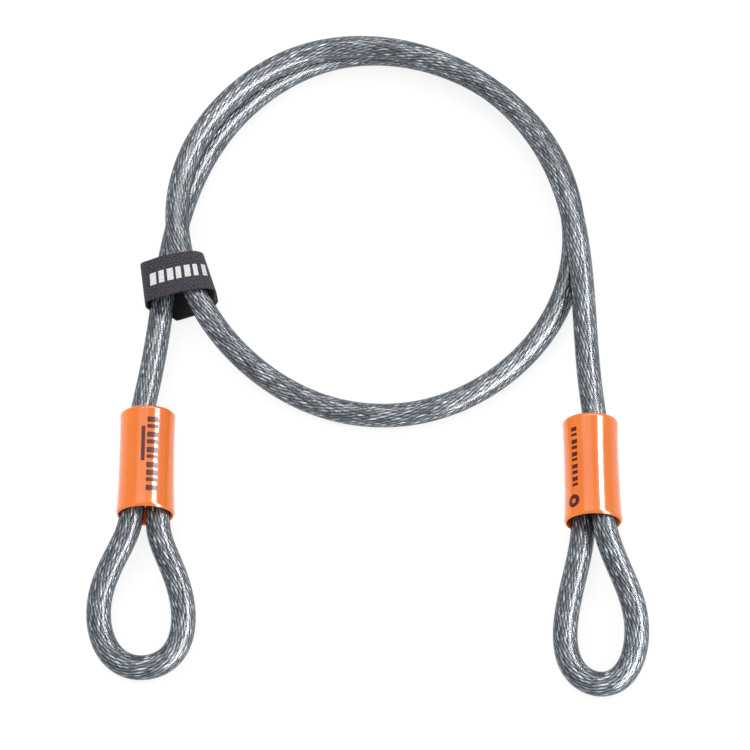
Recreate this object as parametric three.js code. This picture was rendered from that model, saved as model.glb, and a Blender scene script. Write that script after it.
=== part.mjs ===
import * as THREE from 'three';

// Cable lock, lying on a table: +Z up, mm, origin at the middle of the footprint.
// The cable is one length: left eye, left cover, up through the strap, one and a
// half turns, down to the right cover and eye.

// Centreline of the cable between the two ferrules, left to right.
const MAIN = [
  [-103.45, -55.80, 12.90], [-102.09, -41.87, 12.82], [-99.93, -28.04, 12.52], [-97.63, -14.24, 12.03], [-95.74, -0.38, 11.41], [-94.31, 13.52, 10.69],
  [-93.03, 27.44, 9.93], [-91.57, 41.34, 9.18], [-89.61, 55.18, 8.48], [-86.85, 68.89, 7.86], [-83.12, 82.37, 7.33], [-78.24, 95.48, 6.89],
  [-72.03, 108.01, 6.51], [-64.40, 119.73, 6.20], [-55.31, 130.37, 5.96], [-44.89, 139.69, 5.76], [-33.23, 147.41, 5.61], [-20.47, 153.12, 5.49],
  [-6.86, 156.32, 5.40], [7.10, 156.89, 5.36], [20.97, 155.06, 5.36], [34.37, 151.07, 5.36], [47.03, 145.12, 5.36], [58.66, 137.36, 5.36],
  [69.02, 127.96, 5.36], [77.89, 117.15, 5.36], [85.10, 105.16, 5.39], [90.47, 92.25, 5.43], [93.92, 78.69, 5.47], [95.42, 64.78, 5.51],
  [94.91, 50.81, 5.55], [92.37, 37.06, 5.58], [87.74, 23.86, 5.60], [81.09, 11.56, 5.61], [72.66, 0.40, 5.60], [62.69, -9.41, 5.57],
  [51.39, -17.65, 5.53], [38.99, -24.11, 5.46], [25.72, -28.53, 5.37], [11.89, -30.60, 5.36], [-2.08, -30.23, 5.36], [-15.82, -27.62, 5.68],
  [-28.96, -23.01, 6.93], [-41.24, -16.65, 9.04], [-52.45, -8.69, 11.61], [-62.41, 0.78, 14.21], [-70.93, 11.62, 16.58], [-77.85, 23.62, 18.49],
  [-83.01, 36.56, 19.71], [-86.29, 50.15, 20.04], [-87.59, 64.06, 19.39], [-86.82, 77.99, 18.43], [-83.90, 91.63, 17.51], [-78.85, 104.65, 16.86],
  [-71.78, 116.72, 16.58], [-62.94, 127.55, 16.54], [-52.62, 136.99, 16.59], [-40.98, 144.74, 16.68], [-28.17, 150.34, 16.70], [-14.56, 153.53, 16.55],
  [-0.60, 154.37, 16.27], [13.30, 152.93, 15.99], [26.78, 149.22, 16.02], [39.58, 143.57, 16.20], [51.47, 136.21, 16.34], [62.22, 127.26, 16.43],
  [71.60, 116.88, 16.44], [79.49, 105.33, 16.37], [85.84, 92.87, 16.21], [90.59, 79.71, 16.20], [93.81, 66.09, 16.51], [95.90, 52.26, 16.61],
  [97.23, 38.36, 15.73], [98.05, 24.46, 14.29], [98.48, 10.48, 13.90], [98.92, -3.51, 13.75], [99.65, -17.49, 13.81], [100.87, -31.43, 14.20],
  [102.27, -45.30, 15.45], [103.30, -59.18, 16.85],
];

// Centreline of each eye, from one ferrule bore round to the other.
const LEFT_EYE = [
  [-103.15, -75.84, 13.01], [-103.35, -80.76, 12.70], [-104.07, -85.60, 12.32], [-105.53, -90.28, 11.87], [-107.57, -94.82, 11.36], [-109.80, -99.28, 10.82],
  [-111.88, -103.73, 10.25], [-113.80, -108.25, 9.66], [-115.38, -112.89, 9.07], [-116.47, -117.68, 8.49], [-116.98, -122.56, 7.93], [-116.87, -127.47, 7.39],
  [-116.13, -132.33, 6.88], [-114.68, -137.03, 6.42], [-112.42, -141.40, 6.01], [-109.26, -145.17, 5.68], [-105.18, -147.92, 5.46], [-100.45, -149.30, 5.36],
  [-95.52, -149.32, 5.39], [-90.73, -148.15, 5.51], [-86.43, -145.76, 5.74], [-83.14, -142.12, 6.08], [-81.05, -137.68, 6.50], [-79.96, -132.88, 6.97],
  [-79.65, -127.98, 7.47], [-79.97, -123.07, 8.00], [-80.80, -118.23, 8.55], [-82.07, -113.49, 9.11], [-83.68, -108.85, 9.69], [-85.57, -104.28, 10.26],
  [-87.61, -99.72, 10.83], [-89.66, -95.11, 11.37], [-91.41, -90.39, 11.88], [-92.23, -85.56, 12.33], [-91.92, -80.65, 12.71], [-91.99, -75.72, 13.00],
];
const RIGHT_EYE = [
  [95.28, -79.24, 8.88], [95.14, -84.26, 9.02], [94.67, -89.26, 9.06], [93.89, -94.23, 8.99], [92.87, -99.15, 8.83], [91.69, -104.03, 8.59],
  [90.43, -108.88, 8.29], [89.18, -113.74, 7.95], [88.02, -118.62, 7.59], [87.00, -123.53, 7.22], [86.20, -128.48, 6.86], [85.73, -133.47, 6.51],
  [85.71, -138.48, 6.18], [86.36, -143.45, 5.88], [87.95, -148.20, 5.63], [90.72, -152.37, 5.45], [94.70, -155.40, 5.36], [99.46, -156.92, 5.39],
  [104.45, -156.68, 5.54], [108.89, -154.43, 5.85], [112.22, -150.72, 6.28], [114.50, -146.28, 6.79], [115.97, -141.51, 7.39], [116.76, -136.60, 8.06],
  [116.94, -131.64, 8.81], [116.53, -126.70, 9.65], [115.58, -121.85, 10.57], [114.14, -117.14, 11.55], [112.36, -112.54, 12.55], [110.42, -108.01, 13.52],
  [108.46, -103.47, 14.42], [106.64, -98.85, 15.23], [105.07, -94.13, 15.91], [103.90, -89.27, 16.44], [103.26, -84.30, 16.77], [103.22, -79.28, 16.91],
];

// Covers: middle of the upper rim, direction to the lower rim, sideways, roll of the two legs.
const LEFT = { at: [-97.972, -33.785, 12.900], a: [0.00966, -0.99995, 0.00000], b: [0.99995, 0.00966, 0.00000], roll: 0, main: -1 };
const RIGHT = { at: [99.332, -37.277, 12.900], a: [-0.00260, -1.00000, 0.00000], b: [1.00000, -0.00260, 0.00000], roll: Math.PI / 4, main: 1 };

const JACKET_R = 5.35, JACKET_IN = 4.6, ROPE_R = 4.2, SIDES = 10;
const BORE = 5.56;           // half the distance between the two legs in a ferrule
const FER0 = 22, FER1 = 42;  // ferrule's span below the cover's upper rim
const COVER_L = 47.8;

// The numbers here are drawn over a 10.7 mm cable; this brings the whole part to a 10 mm one.
const SIZE = 0.935;

const V = (p) => new THREE.Vector3(p[0], p[1], p[2]);

const material = (color, roughness, metalness, opacity = 1) =>
  new THREE.MeshStandardMaterial({ color, roughness, metalness, opacity, transparent: opacity < 1 });
const MAT = {
  jacket: material(0x9fb0b5, 0.12, 0.0, 0.5),
  rope: material(0x8a9499, 0.4, 0.9),
  ferrule: material(0xb9bcc0, 0.35, 0.9),
  cover: material(0xfa8238, 0.3, 0.0),
  loop: material(0x464149, 0.95, 0.0),
  hook: material(0x131215, 0.95, 0.0),
};

// ---- closed meshes -------------------------------------------------------
class Mesh3 {
  constructor() { this.p = []; this.i = []; }
  add(v) { this.p.push(v.x, v.y, v.z); return this.p.length / 3 - 1; }
  tri(a, b, c) { this.i.push(a, b, c); }
  quad(a, b, c, d) { this.tri(a, b, c); this.tri(a, c, d); }
  geometry() {
    const g = new THREE.BufferGeometry();
    g.setAttribute('position', new THREE.Float32BufferAttribute(this.p, 3));
    g.setIndex(this.i);
    g.computeVertexNormals();
    return g;
  }
}

// Frames carried along a row of stations with no twist.
function frames(st) {
  const T = st.map((p, k) => {
    const a = st[Math.max(0, k - 1)], b = st[Math.min(st.length - 1, k + 1)];
    return b.clone().sub(a).normalize();
  });
  let n = new THREE.Vector3(0, 0, 1);
  n.addScaledVector(T[0], -n.dot(T[0])).normalize();
  return st.map((p, k) => {
    n.addScaledVector(T[k], -n.dot(T[k])).normalize();
    return { p, t: T[k], n: n.clone(), b: new THREE.Vector3().crossVectors(T[k], n) };
  });
}

// Solid rope (ri = 0) or hollow jacket along stations.
function tube(st, ro, ri = 0, sides = SIDES) {
  const m = new Mesh3(), fr = frames(st);
  const ring = (f, r) => Array.from({ length: sides }, (_, k) => {
    const th = (2 * Math.PI * k) / sides;
    return m.add(f.p.clone().addScaledVector(f.n, r * Math.cos(th)).addScaledVector(f.b, r * Math.sin(th)));
  });
  const out = fr.map((f) => ring(f, ro));
  const inn = ri > 0 ? fr.map((f) => ring(f, ri)) : null;
  const last = fr.length - 1;
  for (let j = 0; j < last; j++) for (let k = 0; k < sides; k++) {
    const q = (k + 1) % sides;
    m.quad(out[j][k], out[j][q], out[j + 1][q], out[j + 1][k]);
    if (inn) m.quad(inn[j][q], inn[j][k], inn[j + 1][k], inn[j + 1][q]);
  }
  if (inn) for (let k = 0; k < sides; k++) {
    const q = (k + 1) % sides;
    m.quad(out[0][q], out[0][k], inn[0][k], inn[0][q]);
    m.quad(out[last][k], out[last][q], inn[last][q], inn[last][k]);
  } else {
    const c0 = m.add(fr[0].p), c1 = m.add(fr[last].p);
    for (let k = 0; k < sides; k++) {
      const q = (k + 1) % sides;
      m.tri(c0, out[0][q], out[0][k]);
      m.tri(c1, out[last][k], out[last][q]);
    }
  }
  return m.geometry();
}

// Stations along a list of points, between two lengths, about every `step` mm.
function stations(list, s0, s1, step) {
  const c = new THREE.CatmullRomCurve3(list.map(V), false, 'centripetal');
  c.arcLengthDivisions = list.length * 40;
  const L = c.getLength();
  const from = s0, to = s1 <= 0 ? L + s1 : s1;
  const n = Math.max(1, Math.round((to - from) / step));
  return Array.from({ length: n + 1 }, (_, k) => c.getPointAt(Math.min(1, (from + ((to - from) * k) / n) / L)));
}

// A point in a cover's own frame: s down its axis, w across the two legs.
function inCover(C, s, w) {
  return V(C.at).addScaledVector(V(C.a), s)
    .addScaledVector(V(C.b), w * Math.cos(C.roll))
    .add(new THREE.Vector3(0, 0, w * Math.sin(C.roll)));
}

// Ring-shaped solid turned about a cover's axis from a closed (r, s) outline.
function turned(C, outline, sides = 36) {
  const m = new Mesh3(), up = new THREE.Vector3(0, 0, 1);
  const rings = outline.map(([r, s]) => Array.from({ length: sides }, (_, k) => {
    const th = (2 * Math.PI * k) / sides;
    return m.add(V(C.at).addScaledVector(V(C.a), s).addScaledVector(V(C.b), r * Math.cos(th)).addScaledVector(up, r * Math.sin(th)));
  }));
  for (let j = 0; j < rings.length; j++) for (let k = 0; k < sides; k++) {
    const A = rings[j], B = rings[(j + 1) % rings.length], q = (k + 1) % sides;
    m.quad(A[k], A[q], B[q], B[k]);
  }
  return m.geometry();
}

// Ferrule: flattened sleeve with a bore for each leg.
function ferrule(C) {
  const r = 5.02, shape = new THREE.Shape();
  shape.moveTo(-BORE, -r);
  shape.lineTo(BORE, -r);
  shape.absarc(BORE, 0, r, -Math.PI / 2, Math.PI / 2, false);
  shape.lineTo(-BORE, r);
  shape.absarc(-BORE, 0, r, Math.PI / 2, (3 * Math.PI) / 2, false);
  for (const x of [-BORE, BORE]) {
    const h = new THREE.Path();
    h.absarc(x, 0, 4.52, 0, 2 * Math.PI, true);
    shape.holes.push(h);
  }
  const g = new THREE.ExtrudeGeometry(shape, { depth: FER1 - FER0, bevelEnabled: false, curveSegments: 10 });
  const x = V(C.b).multiplyScalar(Math.cos(C.roll)).add(new THREE.Vector3(0, 0, Math.sin(C.roll)));
  const z = V(C.a), y = new THREE.Vector3().crossVectors(z, x);
  g.applyMatrix4(new THREE.Matrix4().makeBasis(x, y, z).setPosition(inCover(C, FER0, 0)));
  return g;
}

const COVER_OUTLINE = [
  [12.0, 0], [12.3, 0.6], [12.2, 4], [12.15, 24], [12.3, 36], [12.6, 43], [12.8, 47.1], [12.4, COVER_L],
  [11.9, COVER_L], [11.55, 46.6], [11.3, 41], [11.0, 24], [10.95, 8], [11.0, 0.7], [11.35, 0],
];

// ---- strap ---------------------------------------------------------------
// Wound as a boxy oval round both runs of cable. s runs along the cable, u across.
const S0 = [-89.281, 42.378, 0.000], SA = [0.22997, -0.97320, 0], SB = [0.97320, 0.22997, 0];
const SW = { a: 16.7, b: 13.5, z: 13.62, n: 2.9, taper: 0.895, s0: 1.4, s1: 20.9 };
const PLY = 0.4, PLIES = 1.1, SHIFT = 1.3;

function strapPath() {
  const pts = [], D = Math.PI / 180, N = 1600, t0 = -107, t1 = 356;
  const oval = (th) => {
    const c = Math.cos(th), s = Math.sin(th), e = 2 / SW.n;
    return [SW.a * Math.sign(c) * Math.abs(c) ** e, SW.z + SW.b * Math.sign(s) * Math.abs(s) ** e];
  };
  const ease = (x) => { const t = Math.min(1, Math.max(0, x)); return t * t * (3 - 2 * t); };
  for (let k = 0; k <= N; k++) {
    const deg = t0 + ((t1 - t0) * k) / N, th = deg * D;
    const p = oval(th), q = oval(th + 1e-3), o = oval(th - 1e-3);
    const tx = q[0] - o[0], ty = q[1] - o[1], l = Math.hypot(tx, ty);
    pts.push({ deg, u: p[0], v: p[1], nx: -ty / l, nv: tx / l, off: SHIFT * (1 - ease((deg + 3) / 28)) });
  }
  let s = 0;
  pts[0].len = 0;
  for (let k = 1; k < pts.length; k++) {
    s += Math.hypot(pts[k].u - pts[k - 1].u, pts[k].v - pts[k - 1].v);
    pts[k].len = s;
  }
  return pts;
}
const PATH = strapPath();
const TAPE = PATH[PATH.length - 1].len;
const lenAt = (deg) => PATH.reduce((b, p) => (Math.abs(p.deg - deg) < Math.abs(b.deg - deg) ? p : b)).len;
const PEEL = lenAt(316);     // where the free end starts

function strapPoint(len, depth, edge) {
  let k = PATH.findIndex((p) => p.len >= len);
  if (k < 1) k = k === 0 ? 1 : PATH.length - 1;
  const a = PATH[k - 1], b = PATH[k], f = Math.min(1, Math.max(0, (len - a.len) / Math.max(1e-9, b.len - a.len)));
  const mix = (n) => a[n] + (b[n] - a[n]) * f;
  // the inner end lies a little lower than the rest, and both ends have cut corners
  const skew = 2.3 * (1 - Math.min(1, len / 26));
  const cut = Math.max(0, 3.4 - len, 3.0 - (TAPE - len)) * 1.15;
  // wound a little on the slant: its left wall sits higher up the cable
  const w = Math.max(0, 1 - Math.abs(mix('deg') - 210) / 95);
  const slant = 1.2 - 4.4 * w * w * (3 - 2 * w);
  const s = slant + (edge === 0 ? SW.s0 + skew + cut : SW.s1 + skew - cut);
  const k2 = SW.taper + ((1 - SW.taper) * (s - SW.s0)) / (SW.s1 - SW.s0);
  const d = mix('off') + depth;
  const u = (mix('u') + mix('nx') * d) * k2, v = mix('v') + mix('nv') * d;
  return V(S0).setZ(0).addScaledVector(V(SA), s).addScaledVector(V(SB), u).add(new THREE.Vector3(0, 0, v));
}

// One ply of tape between two lengths; depth is measured inward from the outer face.
function ply(l0, l1, d0, d1, step = 2.4) {
  const m = new Mesh3(), n = Math.max(3, Math.round((l1 - l0) / step));
  const rows = Array.from({ length: n + 1 }, (_, k) => {
    const l = l0 + ((l1 - l0) * k) / n;
    return [m.add(strapPoint(l, d0, 0)), m.add(strapPoint(l, d0, 1)), m.add(strapPoint(l, d1, 1)), m.add(strapPoint(l, d1, 0))];
  });
  for (let k = 0; k < n; k++) for (let c = 0; c < 4; c++) {
    const d = (c + 1) % 4;
    m.quad(rows[k][d], rows[k][c], rows[k + 1][c], rows[k + 1][d]);
  }
  m.quad(rows[0][0], rows[0][1], rows[0][2], rows[0][3]);
  m.quad(rows[n][3], rows[n][2], rows[n][1], rows[n][0]);
  return m.geometry();
}

// ---- assembly ------------------------------------------------------------
const group = new THREE.Group();
const add = (name, geometry, mat) => {
  geometry.scale(SIZE, SIZE, SIZE);
  const mesh = new THREE.Mesh(geometry, mat);
  mesh.name = name;
  group.add(mesh);
};

const LEG_L = 68, LEG_R = 96, CUT = 0.5;
add('jacket_coil', tube(stations(MAIN, LEG_L + CUT / 2, -(LEG_R + CUT / 2), 19), JACKET_R, JACKET_IN), MAT.jacket);
add('rope_coil', tube(stations(MAIN, LEG_L + CUT / 2, -(LEG_R + CUT / 2), 19), ROPE_R), MAT.rope);
add('jacket_left_leg', tube(stations(MAIN, 1.6, LEG_L - CUT / 2, 11), JACKET_R, JACKET_IN), MAT.jacket);
add('rope_left_leg', tube(stations(MAIN, 1.6, LEG_L - CUT / 2, 11), ROPE_R), MAT.rope);
const rightFrom = (() => {
  const c = new THREE.CatmullRomCurve3(MAIN.map(V), false, 'centripetal');
  c.arcLengthDivisions = MAIN.length * 40;
  return c.getLength() - LEG_R;
})();
add('jacket_right_leg', tube(stations(MAIN, rightFrom + CUT / 2, -1.6, 12), JACKET_R, JACKET_IN), MAT.jacket);
add('rope_right_leg', tube(stations(MAIN, rightFrom + CUT / 2, -1.6, 12), ROPE_R), MAT.rope);

for (const [side, C, EYE] of [['left', LEFT, LEFT_EYE], ['right', RIGHT, RIGHT_EYE]]) {
  add(`jacket_${side}_eye`, tube(stations(EYE, 1.6, -1.6, 6.5), JACKET_R, JACKET_IN), MAT.jacket);
  const ends = stations(EYE, 1.6, -1.6, 6.5);
  const first = -1;   // the eye's list starts in the left-hand bore
  const mainFirst = C.main === first;
  const top = (w, long) => [inCover(C, long ? FER0 - 3 : FER0 + 0.3, w * BORE), inCover(C, (FER0 + FER1) / 2, w * BORE)];
  const head = top(first, !mainFirst), tail = top(-first, mainFirst).reverse();
  add(`rope_${side}_eye`, tube([...head, ...ends, ...tail], ROPE_R), MAT.rope);
  add(`ferrule_${side}`, ferrule(C), MAT.ferrule);
  add(`cover_${side}`, turned(C, COVER_OUTLINE), MAT.cover);
}

const IN = PLIES - PLY;
add('strap_loop_tape', ply(0, PEEL - 0.2, 0, PLY), MAT.loop);
add('strap_hook_tape', ply(0, PEEL - 0.2, IN, PLIES), MAT.hook);
add('strap_tail_loop_tape', ply(PEEL + 0.2, TAPE, 0, PLY, 2), MAT.loop);
add('strap_tail_hook_tape', ply(PEEL + 0.2, TAPE, IN, PLIES, 2), MAT.hook);

export default group;
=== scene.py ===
import math

import bpy
import numpy as np
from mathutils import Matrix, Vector


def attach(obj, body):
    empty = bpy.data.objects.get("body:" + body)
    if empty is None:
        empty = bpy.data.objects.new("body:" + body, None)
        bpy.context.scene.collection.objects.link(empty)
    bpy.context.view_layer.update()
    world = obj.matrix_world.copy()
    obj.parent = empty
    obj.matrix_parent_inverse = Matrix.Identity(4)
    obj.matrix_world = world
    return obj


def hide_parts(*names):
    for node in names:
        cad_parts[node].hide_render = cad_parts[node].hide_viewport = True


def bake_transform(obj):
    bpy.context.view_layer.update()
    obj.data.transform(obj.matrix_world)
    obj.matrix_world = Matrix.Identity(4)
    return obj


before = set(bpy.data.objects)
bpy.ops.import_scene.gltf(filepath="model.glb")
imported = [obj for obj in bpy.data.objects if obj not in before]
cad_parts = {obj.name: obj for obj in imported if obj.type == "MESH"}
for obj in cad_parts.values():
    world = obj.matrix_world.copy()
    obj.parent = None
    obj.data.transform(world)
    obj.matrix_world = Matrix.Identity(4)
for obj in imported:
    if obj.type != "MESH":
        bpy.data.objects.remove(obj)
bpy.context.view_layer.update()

# ---------------------------------------------------------------- camera
cam_data = bpy.data.cameras.new("camera")
cam_data.sensor_width = 36.0
cam_data.lens = 132.01
cam_data.clip_start, cam_data.clip_end = 0.05, 20.0
camera = bpy.data.objects.new("camera", cam_data)
bpy.context.scene.collection.objects.link(camera)
camera.location = (0.00315, -0.48309, 1.06771)
camera.rotation_mode = "QUATERNION"
camera.rotation_quaternion = (
    Vector((0.00315, -0.00771, 0.00000)) - Vector(camera.location)
).to_track_quat("-Z", "Y")
bpy.context.scene.camera = camera

# ---------------------------------------------------------------- cable route, mm
MAIN = [
    (-103.45, -55.80, 12.90), (-102.09, -41.87, 12.82), (-99.93, -28.04, 12.52), (-97.63, -14.24, 12.03), (-95.74, -0.38, 11.41), (-94.31, 13.52, 10.69),
    (-93.03, 27.44, 9.93), (-91.57, 41.34, 9.18), (-89.61, 55.18, 8.48), (-86.85, 68.89, 7.86), (-83.12, 82.37, 7.33), (-78.24, 95.48, 6.89),
    (-72.03, 108.01, 6.51), (-64.40, 119.73, 6.20), (-55.31, 130.37, 5.96), (-44.89, 139.69, 5.76), (-33.23, 147.41, 5.61), (-20.47, 153.12, 5.49),
    (-6.86, 156.32, 5.40), (7.10, 156.89, 5.36), (20.97, 155.06, 5.36), (34.37, 151.07, 5.36), (47.03, 145.12, 5.36), (58.66, 137.36, 5.36),
    (69.02, 127.96, 5.36), (77.89, 117.15, 5.36), (85.10, 105.16, 5.39), (90.47, 92.25, 5.43), (93.92, 78.69, 5.47), (95.42, 64.78, 5.51),
    (94.91, 50.81, 5.55), (92.37, 37.06, 5.58), (87.74, 23.86, 5.60), (81.09, 11.56, 5.61), (72.66, 0.40, 5.60), (62.69, -9.41, 5.57),
    (51.39, -17.65, 5.53), (38.99, -24.11, 5.46), (25.72, -28.53, 5.37), (11.89, -30.60, 5.36), (-2.08, -30.23, 5.36), (-15.82, -27.62, 5.68),
    (-28.96, -23.01, 6.93), (-41.24, -16.65, 9.04), (-52.45, -8.69, 11.61), (-62.41, 0.78, 14.21), (-70.93, 11.62, 16.58), (-77.85, 23.62, 18.49),
    (-83.01, 36.56, 19.71), (-86.29, 50.15, 20.04), (-87.59, 64.06, 19.39), (-86.82, 77.99, 18.43), (-83.90, 91.63, 17.51), (-78.85, 104.65, 16.86),
    (-71.78, 116.72, 16.58), (-62.94, 127.55, 16.54), (-52.62, 136.99, 16.59), (-40.98, 144.74, 16.68), (-28.17, 150.34, 16.70), (-14.56, 153.53, 16.55),
    (-0.60, 154.37, 16.27), (13.30, 152.93, 15.99), (26.78, 149.22, 16.02), (39.58, 143.57, 16.20), (51.47, 136.21, 16.34), (62.22, 127.26, 16.43),
    (71.60, 116.88, 16.44), (79.49, 105.33, 16.37), (85.84, 92.87, 16.21), (90.59, 79.71, 16.20), (93.81, 66.09, 16.51), (95.90, 52.26, 16.61),
    (97.23, 38.36, 15.73), (98.05, 24.46, 14.29), (98.48, 10.48, 13.90), (98.92, -3.51, 13.75), (99.65, -17.49, 13.81), (100.87, -31.43, 14.20),
    (102.27, -45.30, 15.45), (103.30, -59.18, 16.85),
]

LEFT_EYE = [
    (-103.15, -75.84, 13.01), (-103.35, -80.76, 12.70), (-104.07, -85.60, 12.32), (-105.53, -90.28, 11.87), (-107.57, -94.82, 11.36), (-109.80, -99.28, 10.82),
    (-111.88, -103.73, 10.25), (-113.80, -108.25, 9.66), (-115.38, -112.89, 9.07), (-116.47, -117.68, 8.49), (-116.98, -122.56, 7.93), (-116.87, -127.47, 7.39),
    (-116.13, -132.33, 6.88), (-114.68, -137.03, 6.42), (-112.42, -141.40, 6.01), (-109.26, -145.17, 5.68), (-105.18, -147.92, 5.46), (-100.45, -149.30, 5.36),
    (-95.52, -149.32, 5.39), (-90.73, -148.15, 5.51), (-86.43, -145.76, 5.74), (-83.14, -142.12, 6.08), (-81.05, -137.68, 6.50), (-79.96, -132.88, 6.97),
    (-79.65, -127.98, 7.47), (-79.97, -123.07, 8.00), (-80.80, -118.23, 8.55), (-82.07, -113.49, 9.11), (-83.68, -108.85, 9.69), (-85.57, -104.28, 10.26),
    (-87.61, -99.72, 10.83), (-89.66, -95.11, 11.37), (-91.41, -90.39, 11.88), (-92.23, -85.56, 12.33), (-91.92, -80.65, 12.71), (-91.99, -75.72, 13.00),
]

RIGHT_EYE = [
    (95.28, -79.24, 8.88), (95.14, -84.26, 9.02), (94.67, -89.26, 9.06), (93.89, -94.23, 8.99), (92.87, -99.15, 8.83), (91.69, -104.03, 8.59),
    (90.43, -108.88, 8.29), (89.18, -113.74, 7.95), (88.02, -118.62, 7.59), (87.00, -123.53, 7.22), (86.20, -128.48, 6.86), (85.73, -133.47, 6.51),
    (85.71, -138.48, 6.18), (86.36, -143.45, 5.88), (87.95, -148.20, 5.63), (90.72, -152.37, 5.45), (94.70, -155.40, 5.36), (99.46, -156.92, 5.39),
    (104.45, -156.68, 5.54), (108.89, -154.43, 5.85), (112.22, -150.72, 6.28), (114.50, -146.28, 6.79), (115.97, -141.51, 7.39), (116.76, -136.60, 8.06),
    (116.94, -131.64, 8.81), (116.53, -126.70, 9.65), (115.58, -121.85, 10.57), (114.14, -117.14, 11.55), (112.36, -112.54, 12.55), (110.42, -108.01, 13.52),
    (108.46, -103.47, 14.42), (106.64, -98.85, 15.23), (105.07, -94.13, 15.91), (103.90, -89.27, 16.44), (103.26, -84.30, 16.77), (103.22, -79.28, 16.91),
]

LEFT = dict(at=(-97.972, -33.785, 12.900), a=(0.00966, -0.99995, 0.00000), b=(0.99995, 0.00966, 0.00000), roll=0.0)
RIGHT = dict(at=(99.332, -37.277, 12.900), a=(-0.00260, -1.00000, 0.00000), b=(1.00000, -0.00260, 0.00000), roll=math.pi / 4)
JACKET_R = 5.35
LEG_L, LEG_R = 68.0, 96.0
MM = 0.001 * 0.935     # the numbers are drawn over a 10.7 mm cable, and the part is a 10 mm one


def centripetal(points, per=40):
    """The same curve as the frame's: centripetal Catmull-Rom through the points."""
    P = np.array(points, float)
    ext = np.vstack([2 * P[0] - P[1], P, 2 * P[-1] - P[-2]])
    out = []
    for i in range(1, len(ext) - 2):
        p0, p1, p2, p3 = ext[i - 1], ext[i], ext[i + 1], ext[i + 2]
        d0, d1, d2 = [max(1e-4, np.linalg.norm(q - p) ** 0.5) for p, q in ((p0, p1), (p1, p2), (p2, p3))]
        t1 = ((p1 - p0) / d0 - (p2 - p0) / (d0 + d1) + (p2 - p1) / d1) * d1
        t2 = ((p2 - p1) / d1 - (p3 - p1) / (d1 + d2) + (p3 - p2) / d2) * d1
        t = np.linspace(0, 1, per, endpoint=False)[:, None]
        c2 = -3 * p1 + 3 * p2 - 2 * t1 - t2
        c3 = 2 * p1 - 2 * p2 + t1 + t2
        out.append(p1 + t1 * t + c2 * t ** 2 + c3 * t ** 3)
    out.append(P[-1:])
    return np.vstack(out)


class Line:
    """A smooth line by length in mm, with frames carried along it without twist."""

    def __init__(self, points, smooth=5.0):
        fine = centripetal(points)
        s = np.concatenate([[0], np.cumsum(np.linalg.norm(np.diff(fine, axis=0), axis=1))])
        n = int(round(s[-1] / 0.5))
        g = np.linspace(0, s[-1], n + 1)
        p = np.stack([np.interp(g, s, fine[:, k]) for k in range(3)], 1)
        half = int(smooth * 3 / 0.5)
        k = np.exp(-0.5 * (np.arange(-half, half + 1) * 0.5 / smooth) ** 2)
        k /= k.sum()
        pad = np.vstack([2 * p[0] - p[half:0:-1], p, 2 * p[-1] - p[-2:-half - 2:-1]])
        q = np.stack([np.convolve(pad[:, i], k, "valid") for i in range(3)], 1)
        self.s = np.concatenate([[0], np.cumsum(np.linalg.norm(np.diff(q, axis=0), axis=1))])
        self.s *= s[-1] / self.s[-1]
        self.p = q
        self.length = s[-1]
        t = np.gradient(q, axis=0)
        t /= np.linalg.norm(t, axis=1)[:, None]
        nn = np.zeros_like(t)
        v = np.array([0, 0, 1.0])
        for i in range(len(t)):
            v = v - t[i] * (v @ t[i])
            v /= np.linalg.norm(v)
            nn[i] = v
        self.t, self.n, self.b = t, nn, np.cross(t, nn)

    def at(self, s):
        s = np.atleast_1d(np.asarray(s, float))
        f = lambda a: np.stack([np.interp(s, self.s, a[:, k]) for k in range(3)], 1)
        return f(self.p), f(self.n), f(self.b), f(self.t)


MAIN_L = Line(MAIN)
EYES = {"left": Line(LEFT_EYE, 4.0), "right": Line(RIGHT_EYE, 4.0)}


# ---------------------------------------------------------------- mesh helpers
def mesh_object(name, verts, faces, uv=None, smooth=True, attrs=None):
    me = bpy.data.meshes.new(name)
    verts = np.asarray(verts, float)
    me.from_pydata([tuple(v) for v in verts * MM], [], [tuple(f) for f in faces])
    if uv is not None:
        layer = me.uv_layers.new(name="UVMap")
        loops = np.zeros(len(me.loops), np.int32)
        me.loops.foreach_get("vertex_index", loops)
        uv = np.asarray(uv, float)
        co = uv if len(uv) == len(loops) and len(uv) != len(verts) else uv[loops]
        layer.data.foreach_set("uv", np.asarray(co, np.float32).ravel())
    for key, val in (attrs or {}).items():
        a = me.attributes.new(key, "FLOAT", "POINT")
        a.data.foreach_set("value", np.asarray(val, np.float32))
    me.update()
    if smooth:
        me.polygons.foreach_set("use_smooth", [True] * len(me.polygons))
    ob = bpy.data.objects.new(name, me)
    bpy.context.scene.collection.objects.link(ob)
    return ob


def grid_faces(rows, cols, closed=True):
    f = []
    for j in range(rows - 1):
        a, b = j * cols, (j + 1) * cols
        for k in range(cols if closed else cols - 1):
            q = (k + 1) % cols
            f.append((a + k, a + q, b + q, b + k))
    return f


def tube(name, line, s0, s1, step, radius, sides, caps=(True, True)):
    n = max(2, int(round((s1 - s0) / step)))
    s = np.linspace(s0, s1, n + 1)
    p, nn, bb, tt = line.at(s)
    th = np.linspace(0, 2 * np.pi, sides, endpoint=False)
    V = p[:, None] + radius * (nn[:, None] * np.cos(th)[None, :, None] + bb[:, None] * np.sin(th)[None, :, None])
    verts = V.reshape(-1, 3)
    faces = grid_faces(n + 1, sides)
    verts = list(verts)
    for end, do in ((0, caps[0]), (n, caps[1])):
        if do:
            c = len(verts)
            verts.append(p[end])
            for k in range(sides):
                a, b = end * sides + k, end * sides + (k + 1) % sides
                faces.append((c, b, a) if end == 0 else (c, a, b))
    return mesh_object(name, np.array(verts), faces), p


# Wire rope: the strands are real relief round the run; each strand's wires come from the material.
ROPE_R, STRANDS, LAY = 5.06, 16, 165.0


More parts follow.
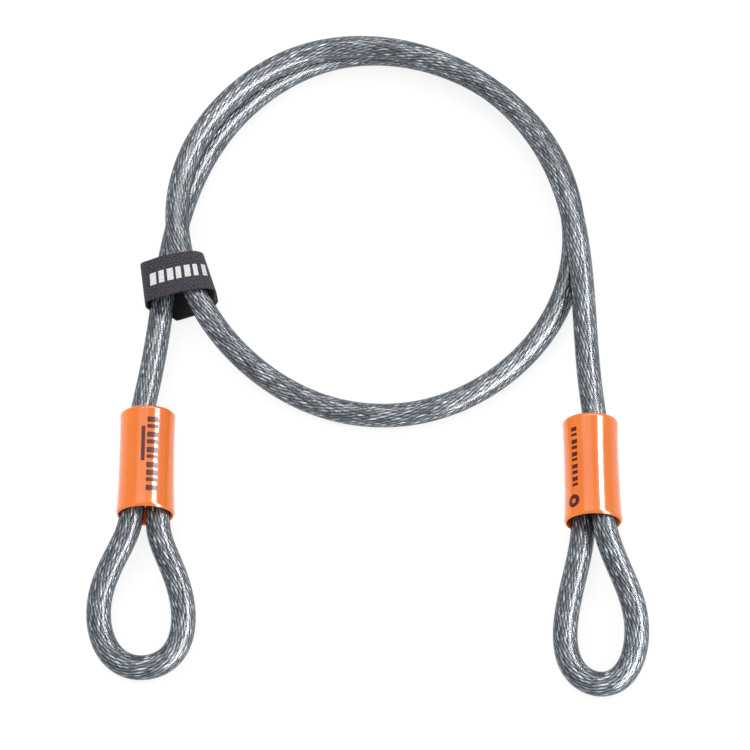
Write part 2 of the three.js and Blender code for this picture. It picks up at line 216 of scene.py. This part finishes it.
def rope(name, line, s0, s1, phase, step=2.0, caps=(True, True)):
    sides = STRANDS * 8
    n = max(2, int(round((s1 - s0) / step)))
    s = np.linspace(s0, s1, n + 1)
    p, nn, bb, tt = line.at(s)
    th = np.linspace(0, 2 * np.pi, sides, endpoint=False)
    T, S = np.meshgrid(th, s)
    x = 2 * ((STRANDS * (T / (2 * np.pi) - S / LAY) + phase) % 1.0) - 1
    slow = 0.05 * np.sin(S / 23.0 + T)
    r = ROPE_R - 0.42 * (1 - np.sqrt(np.clip(1 - 0.97 * x * x, 0, 1))) + slow * 0.5
    V = p[:, None] + r[..., None] * (nn[:, None] * np.cos(th)[None, :, None] + bb[:, None] * np.sin(th)[None, :, None])
    verts = list(V.reshape(-1, 3))
    faces = grid_faces(n + 1, sides)
    k = np.arange(sides)
    uv = np.zeros((n, sides, 4, 2))
    for j in range(n):
        uv[j, :, 0] = np.stack([k / sides, np.full(sides, s[j])], 1)
        uv[j, :, 1] = np.stack([(k + 1) / sides, np.full(sides, s[j])], 1)
        uv[j, :, 2] = np.stack([(k + 1) / sides, np.full(sides, s[j + 1])], 1)
        uv[j, :, 3] = np.stack([k / sides, np.full(sides, s[j + 1])], 1)
    uv[..., 0] += phase / STRANDS
    uv = list(uv.reshape(-1, 2))
    for end, do in ((0, caps[0]), (n, caps[1])):
        if do:
            c = len(verts)
            verts.append(p[end])
            for q in range(sides):
                a, b = end * sides + q, end * sides + (q + 1) % sides
                faces.append((c, b, a) if end == 0 else (c, a, b))
                uv += [np.array([q / sides, s[end]])] * 3
    return mesh_object(name, np.array(verts), faces, uv=np.array(uv))


# ---------------------------------------------------------------- material helpers
def material(name):
    m = bpy.data.materials.new(name)
    m.use_nodes = True
    nt = m.node_tree
    bsdf = next(n for n in nt.nodes if n.type == "BSDF_PRINCIPLED")
    out = next(n for n in nt.nodes if n.type == "OUTPUT_MATERIAL")
    return m, nt, bsdf, out


def node(nt, kind, **values):
    n = nt.nodes.new(kind)
    for k, v in values.items():
        if hasattr(n, k):
            setattr(n, k, v)
        else:
            n.inputs[k].default_value = v
    return n


def ramp(nt, fac, stops):
    n = nt.nodes.new("ShaderNodeValToRGB")
    e = n.color_ramp.elements
    while len(e) < len(stops):
        e.new(0.5)
    for el, (pos, col) in zip(e, stops):
        el.position = pos
        el.color = (*col, 1.0) if len(col) == 3 else col
    nt.links.new(fac, n.inputs["Fac"])
    return n.outputs["Color"]


def mix(nt, fac, a, b, blend="MIX"):
    n = nt.nodes.new("ShaderNodeMix")
    n.data_type = "RGBA"
    n.blend_type = blend
    for sock, val in ((n.inputs[0], fac), (n.inputs[6], a), (n.inputs[7], b)):
        if isinstance(val, bpy.types.NodeSocket):
            nt.links.new(val, sock)
        elif isinstance(val, (int, float)):
            sock.default_value = val
        else:
            sock.default_value = (*val, 1.0)
    return n.outputs[2]


def math_node(nt, op, a, b=None):
    n = nt.nodes.new("ShaderNodeMath")
    n.operation = op
    for i, val in enumerate((a, b)):
        if val is None:
            continue
        if isinstance(val, bpy.types.NodeSocket):
            nt.links.new(val, n.inputs[i])
        else:
            n.inputs[i].default_value = val
    return n.outputs[0]


def bump(nt, height, strength, distance):
    n = nt.nodes.new("ShaderNodeBump")
    n.inputs["Strength"].default_value = strength
    n.inputs["Distance"].default_value = distance
    nt.links.new(height, n.inputs["Height"])
    return n.outputs["Normal"]


def noise(nt, vec, scale, detail=3.0, rough=0.5):
    n = nt.nodes.new("ShaderNodeTexNoise")
    n.inputs["Scale"].default_value = scale
    n.inputs["Detail"].default_value = detail
    n.inputs["Roughness"].default_value = rough
    nt.links.new(vec, n.inputs["Vector"])
    return n.outputs["Fac"]


def object_coords(nt):
    return nt.nodes.new("ShaderNodeTexCoord").outputs["Object"]


def rope_material():
    """Galvanised strands: wires laid across each strand, with painted shade darkening the grooves between strands and
    the gaps between wires.
    """
    m, nt, b, out = material("steel_wire_rope")
    uv = nt.nodes.new("ShaderNodeUVMap").outputs["UV"]
    sep = nt.nodes.new("ShaderNodeSeparateXYZ")
    nt.links.new(uv, sep.inputs[0])
    u, v = sep.outputs["X"], sep.outputs["Y"]
    M = lambda op, a, b=None: math_node(nt, op, a, b)
    t = M("SUBTRACT", M("MULTIPLY", u, float(STRANDS)), M("MULTIPLY", v, STRANDS / LAY))
    i = M("FLOOR", t)
    x = M("SUBTRACT", M("MULTIPLY", M("FRACT", t), 2.0), 1.0)
    w = M("ADD", M("DIVIDE", M("ADD", v, M("MULTIPLY", x, WIRE_SKEW)), WIRE_PITCH), M("MULTIPLY", i, 0.37))
    j = M("FLOOR", w)
    y = M("SUBTRACT", M("MULTIPLY", M("FRACT", w), 2.0), 1.0)
    strand = M("SQRT", M("SUBTRACT", 1.0, M("MULTIPLY", M("MULTIPLY", x, x), 0.985)))
    wire = M("SQRT", M("SUBTRACT", 1.0, M("MULTIPLY", M("MULTIPLY", y, y), 0.985)))
    comb = nt.nodes.new("ShaderNodeCombineXYZ")
    nt.links.new(M("MULTIPLY", i, 7.31), comb.inputs[0])
    nt.links.new(M("MULTIPLY", j, 3.77), comb.inputs[1])
    white = nt.nodes.new("ShaderNodeTexWhiteNoise")
    white.noise_dimensions = "2D"
    nt.links.new(comb.outputs[0], white.inputs["Vector"])
    tone = white.outputs["Value"]
    stretch = nt.nodes.new("ShaderNodeCombineXYZ")
    nt.links.new(M("MULTIPLY", u, 36.0), stretch.inputs[0])
    nt.links.new(M("MULTIPLY", v, 0.34), stretch.inputs[1])
    streak = noise(nt, stretch.outputs[0], 1.0, 3.0, 0.6)
    base = ramp(nt, tone, [(0.0, (0.13, 0.147, 0.165)), (0.50, (0.36, 0.39, 0.43)), (0.85, (0.70, 0.73, 0.77)), (1.0, (0.97, 0.98, 1.0))])
    # painted shade: the colour is darkened in the grooves between strands and in the gaps between wires, where shade
    # falls
    painted_groove_shade = ramp(nt, strand, [(0.12, (0.06, 0.066, 0.074)), (0.50, (0.50, 0.52, 0.54)), (0.85, (1, 1, 1))])
    painted_gap_shade = ramp(nt, wire, [(0.52, (0.02, 0.025, 0.030)), (0.78, (0.30, 0.32, 0.34)), (0.93, (1, 1, 1))])
    c = mix(nt, 1.0, base, painted_groove_shade, "MULTIPLY")
    c = mix(nt, 1.0, c, painted_gap_shade, "MULTIPLY")
    c = mix(nt, 1.0, c, ramp(nt, streak, [(0.40, (0.16, 0.18, 0.20)), (0.50, (0.74, 0.76, 0.78)), (0.60, (1, 1, 1))]), "MULTIPLY")
    nt.links.new(c, b.inputs["Base Color"])
    b.inputs["Metallic"].default_value = 0.15
    b.inputs["Specular IOR Level"].default_value = 0.35
    rough = nt.nodes.new("ShaderNodeMapRange")
    rough.inputs["To Min"].default_value, rough.inputs["To Max"].default_value = 0.40, 0.55
    nt.links.new(streak, rough.inputs["Value"])
    nt.links.new(rough.outputs["Result"], b.inputs["Roughness"])
    h = M("ADD", M("MULTIPLY", wire, 0.6), M("MULTIPLY", strand, 0.6))
    nt.links.new(bump(nt, h, 0.8, 0.0005), b.inputs["Normal"])
    return m


WIRE_PITCH, WIRE_SKEW = 3.1, 2.3


def jacket_material():
    """Clear vinyl: what is under it shows through, tinted more where it is seen edge on."""
    m, nt, b, out = material("clear_vinyl")
    nt.nodes.remove(b)
    clear = nt.nodes.new("ShaderNodeBsdfTransparent")
    facing = nt.nodes.new("ShaderNodeLayerWeight")
    facing.inputs["Blend"].default_value = 0.5
    nt.links.new(ramp(nt, facing.outputs["Facing"], [(0.0, (0.95, 0.965, 0.975)), (0.50, (0.88, 0.91, 0.93)), (0.74, (0.50, 0.54, 0.57)), (0.90, (0.16, 0.18, 0.195)), (1.0, (0.10, 0.115, 0.125))]), clear.inputs["Color"])
    gloss = nt.nodes.new("ShaderNodeBsdfGlossy")
    gloss.inputs["Roughness"].default_value = 0.20
    co = object_coords(nt)
    w = noise(nt, co, 150.0, 2.0, 0.5)
    nt.links.new(bump(nt, w, 0.018, 0.0006), gloss.inputs["Normal"])
    fres = nt.nodes.new("ShaderNodeFresnel")
    fres.inputs["IOR"].default_value = 1.45
    mx = nt.nodes.new("ShaderNodeMixShader")
    nt.links.new(math_node(nt, "MINIMUM", fres.outputs[0], 0.060), mx.inputs[0])
    nt.links.new(clear.outputs[0], mx.inputs[1])
    nt.links.new(gloss.outputs[0], mx.inputs[2])
    nt.links.new(mx.outputs[0], out.inputs["Surface"])
    return m


def cover_material():
    m, nt, b, out = material("orange_vinyl")
    co = object_coords(nt)
    soft = noise(nt, co, 38.0, 2.0, 0.4)
    fine = noise(nt, co, 900.0, 3.0, 0.6)
    c = ramp(nt, soft, [(0.3, (0.97, 0.190, 0.004)), (0.7, (1.0, 0.225, 0.008))])
    nt.links.new(c, b.inputs["Base Color"])
    b.inputs["Roughness"].default_value = 0.20
    b.inputs["IOR"].default_value = 1.5
    b.inputs["Coat Weight"].default_value = 0.65
    b.inputs["Specular IOR Level"].default_value = 0.35
    b.inputs["Coat Roughness"].default_value = 0.035
    b.inputs["Subsurface Weight"].default_value = 0.15
    b.inputs["Subsurface Radius"].default_value = (0.004, 0.0015, 0.0006)
    b.inputs["Subsurface Scale"].default_value = 0.6
    low = noise(nt, co, 70.0, 2.0, 0.4)
    h = mix(nt, 0.12, low, fine)
    nt.links.new(bump(nt, h, 0.18, 0.0006), b.inputs["Normal"])
    return m


def ink_material(name, colour, gloss=0.0):
    m, nt, b, out = material(name)
    co = object_coords(nt)
    f = noise(nt, co, 1500.0, 3.0, 0.6)
    dark = tuple(x * 0.72 for x in colour)
    nt.links.new(ramp(nt, f, [(0.35, dark), (0.6, colour)]), b.inputs["Base Color"])
    b.inputs["Roughness"].default_value = 0.40
    b.inputs["Specular IOR Level"].default_value = 0.2
    b.inputs["Coat Weight"].default_value = gloss
    b.inputs["Coat Roughness"].default_value = 0.035
    return m


def weave_material(name, dark, light, scale=1.0, rough=0.85, sheen=0.4):
    """Napped tape: fine threads along and across, from the tape's own UVs in mm."""
    m, nt, b, out = material(name)
    uv = nt.nodes.new("ShaderNodeUVMap").outputs["UV"]
    sep = nt.nodes.new("ShaderNodeSeparateXYZ")
    nt.links.new(uv, sep.inputs[0])
    k = 2 * math.pi / (0.9 * scale)
    u = math_node(nt, "MULTIPLY", sep.outputs["X"], k)
    v = math_node(nt, "MULTIPLY", sep.outputs["Y"], k)
    a = math_node(nt, "SINE", math_node(nt, "ADD", u, v))
    c = math_node(nt, "SINE", math_node(nt, "SUBTRACT", u, v))
    knit = math_node(nt, "MULTIPLY", a, c)
    fuzz = noise(nt, uv, 2.1 / scale, 5.0, 0.75)
    blotch = noise(nt, uv, 0.45 / scale, 2.0, 0.5)
    h = math_node(nt, "ADD", math_node(nt, "MULTIPLY", knit, 0.12), fuzz)
    col = ramp(nt, h, [(0.43, dark), (0.64, light)])
    shade = ramp(nt, blotch, [(0.3, (0.86, 0.86, 0.86)), (0.7, (1, 1, 1))])
    nt.links.new(mix(nt, 1.0, col, shade, "MULTIPLY"), b.inputs["Base Color"])
    b.inputs["Roughness"].default_value = rough
    b.inputs["Sheen Weight"].default_value = sheen
    b.inputs["Sheen Roughness"].default_value = 0.5
    b.inputs["Specular IOR Level"].default_value = 0.2
    nt.links.new(bump(nt, h, 0.75, 0.0004), b.inputs["Normal"])
    return m


def metal_material():
    m, nt, b, out = material("pressed_aluminium")
    co = object_coords(nt)
    f = noise(nt, co, 700.0, 3.0, 0.5)
    nt.links.new(ramp(nt, f, [(0.3, (0.52, 0.53, 0.54)), (0.7, (0.78, 0.79, 0.80))]), b.inputs["Base Color"])
    b.inputs["Metallic"].default_value = 1.0
    b.inputs["Roughness"].default_value = 0.38
    nt.links.new(bump(nt, f, 0.2, 0.0003), b.inputs["Normal"])
    return m


M_ROPE, M_JACKET, M_COVER, M_METAL = rope_material(), jacket_material(), cover_material(), metal_material()
M_FACE = weave_material("loop_tape_weave", (0.004, 0.0035, 0.006), (0.140, 0.127, 0.160), 1.5, 0.9, 0.03)
M_BACK = weave_material("hook_tape_weave", (0.006, 0.006, 0.008), (0.022, 0.020, 0.025), 1.2, 0.75, 0.04)
M_WHITE = ink_material("white_print", (0.88, 0.88, 0.88))
M_MAROON = ink_material("maroon_print", (0.115, 0.003, 0.006), 0.25)


def dress(ob, mat):
    ob.data.materials.clear()
    ob.data.materials.append(mat)
    return ob


# ---------------------------------------------------------------- the cable
L = MAIN_L.length
SKIN = 40


def leg_points(sa, sb):
    return [tuple(MAIN_L.at(s)[0][0] * MM) for s in (sa, sb)]


coil_jacket, coil_path = tube("cable_jacket_coil", MAIN_L, LEG_L, L - LEG_R, 2.2, JACKET_R, SKIN, (False, False))
coil_rope = rope("cable_rope_coil", MAIN_L, LEG_L, L - LEG_R, 0.3, caps=(False, False))
for ob, mat, sl, rep in ((coil_jacket, M_JACKET, "jacket", "jacket_coil"), (coil_rope, M_ROPE, "rope", "rope_coil")):
    dress(ob, mat)
    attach(ob, "coil")
    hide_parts(rep)

legs = {}
for side, s0, s1 in (("left", 1.6, LEG_L), ("right", L - LEG_R, L - 1.6)):
    caps = (True, False) if side == "left" else (False, True)
    j, path = tube(f"cable_jacket_{side}_leg", MAIN_L, s0, s1, 2.2, JACKET_R, SKIN, caps)
    w = rope(f"cable_rope_{side}_leg", MAIN_L, s0, s1, 0.3, caps=caps)
    a, b = leg_points(66.0, 26.0) if side == "left" else leg_points(L - 94.0, L - 28.0)
    for ob, mat, sl, kind in ((j, M_JACKET, "jacket", "jacket"), (w, M_ROPE, "rope", "rope")):
        dress(ob, mat)
        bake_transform(ob)
        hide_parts(f"{kind}_{side}_leg")
    legs[side] = (j, w, path)

eyes = {}
for side, line in EYES.items():
    e = line.length
    j, path = tube(f"cable_jacket_{side}_eye", line, 1.6, e - 1.6, 2.0, JACKET_R, SKIN)
    w = rope(f"cable_rope_{side}_eye", line, 0.2, e - 0.2, 1.1)
    for ob, mat, sl, kind in ((j, M_JACKET, "jacket", "jacket"), (w, M_ROPE, "rope", "rope")):
        dress(ob, mat)
        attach(ob, f"{side}_end")
        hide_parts(f"{kind}_{side}_eye")
    eyes[side] = (j, w, path)


# ---------------------------------------------------------------- covers
OUT = [(0.0, 12.0), (0.8, 12.32), (4, 12.2), (12, 12.05), (24, 12.1), (36, 12.3), (43, 12.6), (46.9, 12.85), (47.8, 12.55)]
INN = [(47.8, 11.9), (46.6, 11.55), (41, 11.3), (24, 11.0), (8, 10.95), (0.7, 11.0), (0.0, 11.35)]


def on_cover(C, s, th, r):
    at, a, b, up = (np.array(x, float) for x in (C["at"], C["a"], C["b"], (0, 0, 1)))
    s, th, r = np.broadcast_arrays(np.asarray(s, float), th, r)
    return at + s[..., None] * a + (r * np.cos(th))[..., None] * b + (r * np.sin(th))[..., None] * up


def cover_radius(s):
    x = np.array([p[0] for p in OUT])
    y = np.array([p[1] for p in OUT])
    return np.interp(s, x, y)


def cover(side, C):
    pts = []
    xo = np.concatenate([[0.0, 0.12, 0.35, 0.8, 1.6], np.linspace(3, 45, 22), [46.2, 46.9, 47.3, 47.62, 47.8]])
    for s in xo:
        edge = min(s, 47.8 - s)
        r = cover_radius(s)
        if edge < 0.8:
            r -= 0.30 * (1 - edge / 0.8) ** 2
        pts.append((s, r))
    mid = 0.5 * (pts[-1][1] + 11.95)
    pts.append((47.86, mid))
    xi = np.linspace(0, 1, len(INN))
    for s, r in INN:
        pts.append((s, r))
    pts.append((-0.06, 0.5 * (11.3 + pts[0][1])))
    sides = 96
    th = np.linspace(0, 2 * np.pi, sides, endpoint=False)
    rows = []
    for s, r in pts:
        wob = 0.05 * np.sin(2 * th + 0.06 * s + (0.6 if side == "left" else 2.1)) + 0.03 * np.sin(3 * th - 0.11 * s)
        rows.append(on_cover(C, s, th, r + wob))
    n = len(rows)
    verts = np.concatenate(rows)
    faces = []
    for j in range(n):
        a, b = j * sides, ((j + 1) % n) * sides
        for k in range(sides):
            q = (k + 1) % sides
            faces.append((a + k, a + q, b + q, b + k))
    ob = mesh_object(f"cover_skin_{side}", verts, faces)
    dress(ob, M_COVER)
    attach(ob, f"{side}_end")
    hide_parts(f"cover_{side}")
    return ob


def cover_mark(side, C, name, bars):
    """Plain printed bars: (s0, s1, angle0, angle1) in mm down the cover and degrees round it."""
    verts, faces = [], []
    for s0, s1, t0, t1 in bars:
        ns, nt = max(2, int((s1 - s0) / 0.8)), max(2, int(abs(t1 - t0) / 3))
        S, T = np.meshgrid(np.linspace(s0, s1, ns + 1), np.radians(np.linspace(t0, t1, nt + 1)), indexing="ij")
        wob = 0.05 * np.sin(2 * T + 0.06 * S + (0.6 if side == "left" else 2.1)) + 0.03 * np.sin(3 * T - 0.11 * S)
        base = len(verts)
        verts += list(on_cover(C, S, T, cover_radius(S) + wob + 0.05).reshape(-1, 3))
        for i in range(ns):
            for j in range(nt):
                q = base + i * (nt + 1) + j
                faces.append((q, q + 1, q + nt + 2, q + nt + 1))
    ob = mesh_object(name, np.array(verts), faces)
    dress(ob, M_MAROON)
    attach(ob, f"{side}_end")
    return ob


def disc_mark(side, C, name, s0, deg, r, hole):
    verts, faces, n = [], [], 40
    for k, rr in enumerate(np.linspace(hole, r, 5)):
        for q in range(n):
            a = 2 * math.pi * q / n
            T = math.radians(deg) + rr * math.cos(a) / 12.2
            S = s0 + rr * math.sin(a)
            wob = 0.05 * np.sin(2 * T + 0.06 * S + (0.6 if side == "left" else 2.1)) + 0.03 * np.sin(3 * T - 0.11 * S)
            verts.append(on_cover(C, S, T, float(cover_radius(S) + wob + 0.05)))
    for k in range(4):
        for q in range(n):
            a, b = k * n + q, k * n + (q + 1) % n
            faces.append((a, b, b + n, a + n))
    ob = mesh_object(name, np.array(verts), faces)
    dress(ob, M_MAROON)
    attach(ob, f"{side}_end")
    return ob


cover("left", LEFT)
cover("right", RIGHT)
bars = [(5.6 + 3.62 * k, 5.6 + 3.62 * k + w, 62.0, 86.0) for k, w in enumerate((2.5, 1.7, 2.4, 2.0, 2.6, 1.6, 2.4, 2.5, 1.8, 2.5))]
cover_mark("left", LEFT, "cover_left_print", bars + [(10.0, 26.5, 90.0, 98.0)])
cover_mark("right", RIGHT, "cover_right_print", [(6.0 + 2.95 * k, 6.0 + 2.95 * k + w, 125.0, 139.0) for k, w in enumerate((1.9, 1.3, 2.0, 1.6, 2.0, 1.3, 1.9, 1.6, 2.0, 1.4))])
disc_mark("right", RIGHT, "cover_right_dot", 40.8, 136.0, 3.0, 1.1)


# ---------------------------------------------------------------- strap
S0, SA, SB = (-89.281, 42.378), (0.22997, -0.97320), (0.97320, 0.22997)
SW = dict(a=16.7, b=13.5, z=13.62, n=2.9, taper=0.895, s0=1.4, s1=20.9)
PLIES, SHIFT = 1.1, 1.3


def strap_path():
    D = math.pi / 180
    deg = np.linspace(-107, 356, 1601)

    def oval(th):
        c, s, e = np.cos(th), np.sin(th), 2 / SW["n"]
        return np.stack([SW["a"] * np.sign(c) * np.abs(c) ** e, SW["z"] + SW["b"] * np.sign(s) * np.abs(s) ** e], 1)

    th = deg * D
    p, t = oval(th), oval(th + 1e-3) - oval(th - 1e-3)
    t /= np.linalg.norm(t, axis=1)[:, None]
    x = np.clip((deg + 3) / 28, 0, 1)
    off = SHIFT * (1 - x * x * (3 - 2 * x))
    ln = np.concatenate([[0], np.cumsum(np.linalg.norm(np.diff(p, axis=0), axis=1))])
    return dict(deg=deg, u=p[:, 0], v=p[:, 1], nx=-t[:, 1], nv=t[:, 0], off=off, len=ln)


PATH = strap_path()
TAPE = PATH["len"][-1]
PEEL = float(np.interp(316.0, PATH["deg"], PATH["len"]))
STRAP_W = SW["s1"] - SW["s0"]


def strap_points(ln, depth, e):
    """Points of the tape: length along it, depth inward from its outer face, e from 0 to 1 across it."""
    ln, depth, e = np.broadcast_arrays(np.asarray(ln, float), depth, e)
    f = lambda n: np.interp(ln, PATH["len"], PATH[n])
    skew = 2.3 * (1 - np.minimum(1, ln / 26))
    cut = np.maximum(0, np.maximum(3.4 - ln, 3.0 - (TAPE - ln))) * 1.15
    w = np.maximum(0, 1 - np.abs(f("deg") - 210) / 95)
    slant = 1.2 - 4.4 * w * w * (3 - 2 * w)
    lo, hi = SW["s0"] + skew + cut + slant, SW["s1"] + skew - cut + slant
    s = lo + (hi - lo) * e
    k2 = SW["taper"] + ((1 - SW["taper"]) * (s - SW["s0"])) / STRAP_W
    d = f("off") + depth
    u, v = (f("u") + f("nx") * d) * k2, f("v") + f("nv") * d
    return np.stack([S0[0] + SA[0] * s + SB[0] * u, S0[1] + SA[1] * s + SB[1] * u, v], -1)


def tape(name, l0, l1, d0, d1, step=0.8, across=28):
    n = max(4, int(round((l1 - l0) / step)))
    ln = np.linspace(l0, l1, n + 1)
    e = np.linspace(0, 1, across + 1)
    # closed outline of the section: outer face, rounded edge, inner face, rounded edge
    dm, hw = 0.5 * (d0 + d1), 0.5 * (d1 - d0)
    sec = []
    round_e = hw / STRAP_W
    for x in e[1:-1]:
        sec.append((x, d0))
    for a in np.linspace(60, -60, 5):
        sec.append((1 - round_e * (1 - math.cos(math.radians(a))), dm - hw * math.sin(math.radians(a)) / math.sin(math.radians(60)) * 0.96))
    for x in e[1:-1][::-1]:
        sec.append((x, d1))
    for a in np.linspace(-60, 60, 5):
        sec.append((round_e * (1 - math.cos(math.radians(a))), dm - hw * math.sin(math.radians(a)) / math.sin(math.radians(60)) * 0.96))
    sec = np.array(sec)
    m = len(sec)
    LN, K = np.meshgrid(ln, np.arange(m), indexing="ij")
    P = strap_points(LN, sec[K, 1], sec[K, 0])
    verts = P.reshape(-1, 3)
    uv = np.stack([LN.ravel(), (sec[K, 0] * STRAP_W).ravel()], 1)
    faces = []
    for j in range(n):
        a, b = j * m, (j + 1) * m
        for k in range(m):
            q = (k + 1) % m
            faces.append((a + q, a + k, b + k, b + q))
    faces.append(tuple(range(m)))
    faces.append(tuple(n * m + k for k in reversed(range(m))))
    return mesh_object(name, verts, faces, uv=uv)


def strap_mark(name, bars):
    """Plain printed bars on the tape's outer face: (l0, l1, e0, e1, slant)."""
    verts, faces = [], []
    for l0, l1, e0, e1, slant in bars:
        nl, ne = max(2, int((l1 - l0) / 0.4)), 8
        LN, E = np.meshgrid(np.linspace(l0, l1, nl + 1), np.linspace(e0, e1, ne + 1), indexing="ij")
        LS = LN + slant * (E - 0.5 * (e0 + e1)) * STRAP_W
        base = len(verts)
        verts += list(strap_points(LS, -0.06, E).reshape(-1, 3))
        for i in range(nl):
            for j in range(ne):
                q = base + i * (ne + 1) + j
                faces.append((q, q + 1, q + ne + 2, q + ne + 1))
    ob = mesh_object(name, np.array(verts), faces)
    return dress(ob, M_WHITE)


def top_len(u):
    top = np.flatnonzero((PATH["deg"] > 5) & (PATH["deg"] < 178))
    return float(PATH["len"][top[np.abs(PATH["u"][top] - u).argmin()]])


marks = []
for k, w in enumerate((2.9, 2.6, 3.0, 2.5, 2.8, 2.2, 2.0)):
    u0 = -12.6 + 4.15 * k
    a, b = top_len(u0 + w), top_len(u0)
    marks.append((a, b, 0.36, 0.66, 0.10))
white = strap_mark("strap_print", marks)
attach(white, "strap")
band = dress(tape("strap_band_loop", 0, PEEL, 0, 0.4), M_FACE)
band_in = dress(tape("strap_band_hook", 0, PEEL, 0.45, PLIES), M_BACK)
for ob, n in ((band, "strap_loop_tape"), (band_in, "strap_hook_tape")):
    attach(ob, "strap")
    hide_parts(n)

tail = dress(tape("strap_tail_loop", PEEL, TAPE, 0, 0.4), M_FACE)
tail_in = dress(tape("strap_tail_hook", PEEL, TAPE, 0.45, PLIES), M_BACK)
for ob, n in ((tail, "strap_tail_loop_tape"), (tail_in, "strap_tail_hook_tape")):
    p0 = strap_points(np.array([PEEL]), 0.25, 0.5)[0] * MM
    p1 = strap_points(np.array([PEEL + 3.0]), 0.25, 0.5)[0] * MM
    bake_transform(ob)
    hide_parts(n)

# ---------------------------------------------------------------- ferrules
for side in ("left", "right"):
    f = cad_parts[f"ferrule_{side}"]
    f.data.materials.clear()
    f.data.materials.append(M_METAL)

# ---------------------------------------------------------------- floor and lights
me = bpy.data.meshes.new("floor")
R = 6.0
me.from_pydata([(-R, -R, -0.0003), (R, -R, -0.0003), (R, R, -0.0003), (-R, R, -0.0003)], [], [(0, 1, 2, 3)])
floor = bpy.data.objects.new("floor", me)
bpy.context.scene.collection.objects.link(floor)
fm, fnt, fb, fout = material("floor_paper")
fb.inputs["Base Color"].default_value = (0.30, 0.30, 0.30, 1)
fb.inputs["Roughness"].default_value = 0.9
fb.inputs["Specular IOR Level"].default_value = 0.1
fb.inputs["Emission Color"].default_value = (1, 1, 1, 1)
fb.inputs["Emission Strength"].default_value = 0.80
floor.data.materials.append(fm)

world = bpy.data.worlds.new("studio")
bpy.context.scene.world = world
world.use_nodes = True
bg = next(n for n in world.node_tree.nodes if n.type == "BACKGROUND")
bg.inputs["Color"].default_value = (1, 1, 1, 1)
bg.inputs["Strength"].default_value = 0.80
bpy.context.scene.view_settings.view_transform = "Standard"


def area(name, loc, target, up, size_x, size_y, power):
    d = bpy.data.lights.new(name, "AREA")
    d.shape = "RECTANGLE"
    d.size, d.size_y = size_x, size_y
    d.energy = power
    o = bpy.data.objects.new(name, d)
    bpy.context.scene.collection.objects.link(o)
    o.location = loc
    z = (Vector(loc) - Vector(target)).normalized()
    y = Vector(up)
    y = (y - z * y.dot(z)).normalized()
    x = y.cross(z)
    from mathutils import Matrix
    o.rotation_euler = Matrix((x, y, z)).transposed().to_euler()
    o.visible_camera = False
    return o


key = area("key_strip", (0.78, -0.286, 0.64), (0.0, 0.0, 0.0), (0, 0.914, 0.407), 0.36, 2.4, 74.0)
key.visible_diffuse = False
over = area("over_strip", (0.0, 0.80, 1.15), (0.0, 0.05, 0.0), (1, 0, 0), 0.20, 1.4, 10.0)
over.visible_diffuse = False
area("soft_top", (-0.5, 0.3, 1.6), (0.0, 0.0, 0.0), (0, 1, 0), 1.2, 1.2, 5.0)
